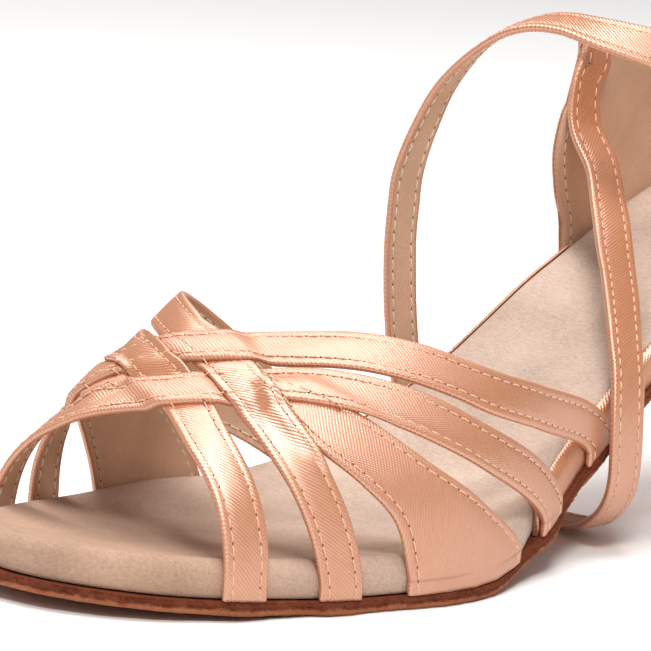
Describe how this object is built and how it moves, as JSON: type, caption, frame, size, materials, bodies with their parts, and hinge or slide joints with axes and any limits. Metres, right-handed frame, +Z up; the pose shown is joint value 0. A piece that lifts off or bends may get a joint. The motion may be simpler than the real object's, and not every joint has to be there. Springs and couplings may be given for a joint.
{
  "type": "latin dance shoe",
  "caption": "Open-toe latin dance sandal with a lattice of crossed satin straps, padded suede footbed, suede sole, flared covered heel and a long buckled ankle strap",
  "frame": {"origin": "middle of the shoe's box in plan, on the floor that the ball of the sole and the heel tip stand on", "axes": "+Z up, the toe points to -Y, +X is the outer side of this left shoe"},
  "size_m": [0.0831, 0.2326, 0.106],
  "materials": {
    "outsole": "suede, brushed nap, cut edge",
    "footbed": "padded suede",
    "edge_cover_outer": "satin",
    "edge_cover_inner": "satin",
    "strap_lattice": "satin, lined with soft leather",
    "heel_counter": "satin over a stiffener, lined with soft leather",
    "heel_block": "satin stretched over a moulded heel",
    "heel_tip": "matt",
    "ankle_strap": "satin, lined with soft leather",
    "buckle_frame": "polished wire",
    "buckle_prong": "polished wire",
    "buckle_tab_upper": "satin",
    "buckle_tab_lower": "satin",
    "strap_keeper": "satin"
  },
  "bodies": {
    "root": {"outsole": "outsole", "footbed": "footbed", "edge_cover_outer": "edge_cover_outer", "edge_cover_inner": "edge_cover_inner", "strap_lattice": "strap_lattice", "heel_counter": "heel_counter", "heel_block": "heel_block", "heel_tip": "heel_tip", "ankle_strap": "ankle_strap", "buckle_frame": "buckle_frame", "buckle_prong": "buckle_prong", "buckle_tab_upper": "buckle_tab_upper", "buckle_tab_lower": "buckle_tab_lower", "strap_keeper": "strap_keeper"}
  },
  "joints": []
}
